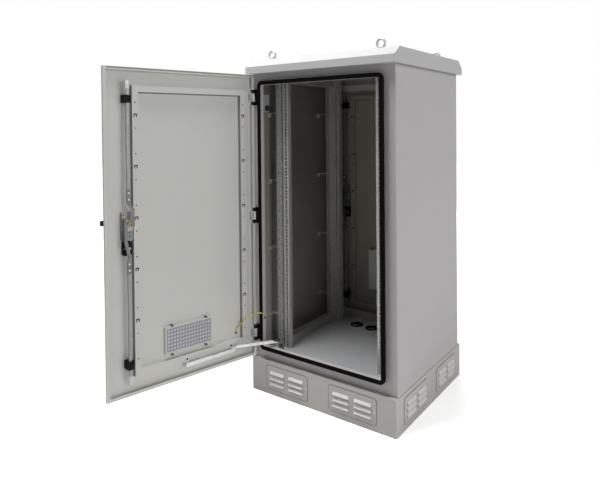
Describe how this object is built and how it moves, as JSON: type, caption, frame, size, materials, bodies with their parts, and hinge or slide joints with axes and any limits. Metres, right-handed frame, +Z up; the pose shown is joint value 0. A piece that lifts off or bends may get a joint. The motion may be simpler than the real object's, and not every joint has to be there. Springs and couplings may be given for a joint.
{
  "type": "roadside utility cabinet",
  "caption": "Sheet-steel outdoor equipment cabinet on a louvred plinth, with a chamfered roof, lifting eyes, rack rails inside, and hinged front and rear doors with rod locks.",
  "frame": {"origin": "middle of the plinth's foot, on the ground", "axes": "+Z up, front door at -Y, +X to the right seen from the front"},
  "size_m": [0.9135, 1.3679, 1.5454],
  "materials": {
    "cabinet_paint": "satin powder coat",
    "zinc_plate": "zinc plated",
    "passivated_zinc": "yellow passivated zinc",
    "dark_steel": "dull steel",
    "black_rubber": "matt",
    "black_plastic": "matt",
    "grey_plastic": "matt",
    "filter_fleece": "fleece",
    "lead_sleeve": "yellow and green sleeve"
  },
  "bodies": {
    "cabinet": {"plinth": "cabinet_paint", "plinth_vent_covers": "cabinet_paint", "left_side_wall": "cabinet_paint", "right_side_wall": "cabinet_paint", "front_frame": "cabinet_paint", "rear_frame": "cabinet_paint", "floor_pan": "cabinet_paint", "top_deck": "cabinet_paint", "roof_canopy": "cabinet_paint", "lifting_eyebolts": "zinc_plate", "front_gasket": "black_rubber", "rear_gasket": "black_rubber", "rack_rail_front_left": "zinc_plate", "rack_rail_front_right": "zinc_plate", "rack_rail_rear_left": "zinc_plate", "rack_rail_rear_right": "zinc_plate", "rail_supports": "zinc_plate", "rail_wall_brackets": "zinc_plate", "floor_grommets": "black_rubber", "temperature_switch": "grey_plastic", "fan_frames": "black_plastic", "fan_guards": "zinc_plate", "front_hinge_bodies": "black_plastic", "rear_hinge_bodies": "black_plastic", "hinge_pins": "zinc_plate", "stay_bracket": "zinc_plate", "earth_wire": "lead_sleeve"},
    "front_door": {"front_door_panel": "cabinet_paint", "front_door_frame": "cabinet_paint", "front_hinge_leaves": "zinc_plate", "front_lock_housing": "zinc_plate", "front_handle_dish": "black_plastic", "front_rod_guides": "black_plastic", "filter_cover": "cabinet_paint", "filter_mat": "filter_fleece", "filter_screws": "zinc_plate", "stay_rail": "zinc_plate"},
    "rear_door": {"rear_door_panel": "cabinet_paint", "rear_door_frame": "cabinet_paint", "rear_hinge_leaves": "zinc_plate", "rear_lock_housing": "zinc_plate", "rear_handle_dish": "black_plastic", "rear_rod_guides": "black_plastic", "document_pocket": "cabinet_paint"},
    "front_handle": {"front_handle_spindle": "passivated_zinc"},
    "front_lever": {"front_handle_lever": "black_plastic"},
    "front_upper_bar": {"front_upper_rod": "dark_steel"},
    "front_lower_bar": {"front_lower_rod": "dark_steel"},
    "rear_handle": {"rear_handle_spindle": "passivated_zinc"},
    "rear_lever": {"rear_handle_lever": "black_plastic"},
    "rear_upper_bar": {"rear_upper_rod": "dark_steel"},
    "rear_lower_bar": {"rear_lower_rod": "dark_steel"},
    "stay_runner": {"stay_slider": "zinc_plate"},
    "stay_bar": {"stay_arm": "zinc_plate"},
    "left_rotor": {"fan_rotor_left": "black_plastic"},
    "right_rotor": {"fan_rotor_right": "black_plastic"}
  },
  "joints": [
    {"name": "front_door_hinge", "type": "hinge", "parent": "cabinet", "child": "front_door", "pos_m": [-0.3446, -0.33325, 0.795], "axis": [0, 0, 1], "range_deg": [0, 103.8], "deforming": ["earth_wire"]},
    {"name": "rear_door_hinge", "type": "hinge", "parent": "cabinet", "child": "rear_door", "pos_m": [0.3446, 0.33325, 0.795], "axis": [0, 0, -1], "range_deg": [0, 103.8]},
    {"name": "front_handle_turn", "type": "hinge", "parent": "front_door", "child": "front_handle", "pos_m": [-0.49759, -0.91649, 0.836], "axis": [0.9711, -0.2385, 0], "range_deg": [0, 90]},
    {"name": "front_lever_pull", "type": "hinge", "parent": "front_handle", "child": "front_lever", "pos_m": [-0.51269, -0.91278, 0.836], "axis": [0, 0, -1], "range_deg": [0, 25]},
    {"name": "front_upper_rod_slide", "type": "slide", "parent": "front_door", "child": "front_upper_bar", "axis": [0, 0, 1], "range_m": [0, 0.018]},
    {"name": "front_lower_rod_slide", "type": "slide", "parent": "front_door", "child": "front_lower_bar", "axis": [0, 0, -1], "range_m": [0, 0.018]},
    {"name": "rear_handle_turn", "type": "hinge", "parent": "rear_door", "child": "rear_handle", "pos_m": [-0.2583, 0.3427, 0.836], "axis": [0, -1, 0], "range_deg": [0, 90]},
    {"name": "rear_lever_pull", "type": "hinge", "parent": "rear_handle", "child": "rear_lever", "pos_m": [-0.2583, 0.35825, 0.836], "axis": [0, 0, -1], "range_deg": [0, 25]},
    {"name": "rear_upper_rod_slide", "type": "slide", "parent": "rear_door", "child": "rear_upper_bar", "axis": [0, 0, 1], "range_m": [0, 0.018]},
    {"name": "rear_lower_rod_slide", "type": "slide", "parent": "rear_door", "child": "rear_lower_bar", "axis": [0, 0, -1], "range_m": [0, 0.018]},
    {"name": "stay_runner_slide", "type": "slide", "parent": "front_door", "child": "stay_runner", "axis": [-0.2385, -0.9711, 0], "range_m": [0, 0.1728]},
    {"name": "stay_arm_pivot", "type": "hinge", "parent": "cabinet", "child": "stay_bar", "pos_m": [-0.24, -0.305, 0.2266], "axis": [0, 0, 1], "range_deg": [0, 122.79]},
    {"name": "left_fan_spin", "type": "hinge", "parent": "cabinet", "child": "left_rotor", "pos_m": [-0.11, 0.06, 1.456], "axis": [0, 0, 1], "continuous": true},
    {"name": "right_fan_spin", "type": "hinge", "parent": "cabinet", "child": "right_rotor", "pos_m": [0.11, 0.06, 1.456], "axis": [0, 0, 1], "continuous": true}
  ],
  "couplings": [
    {"joint": "front_upper_rod_slide", "follows": "front_handle_turn", "m_per_rad": 0.011459},
    {"joint": "front_lower_rod_slide", "follows": "front_handle_turn", "m_per_rad": 0.011459},
    {"joint": "rear_upper_rod_slide", "follows": "rear_handle_turn", "m_per_rad": 0.011459},
    {"joint": "rear_lower_rod_slide", "follows": "rear_handle_turn", "m_per_rad": 0.011459},
    {"joint": "stay_runner_slide", "follows": "front_door_hinge", "m_per_rad": 0.095327},
    {"joint": "stay_arm_pivot", "follows": "front_door_hinge", "ratio": 1.1829}
  ]
}
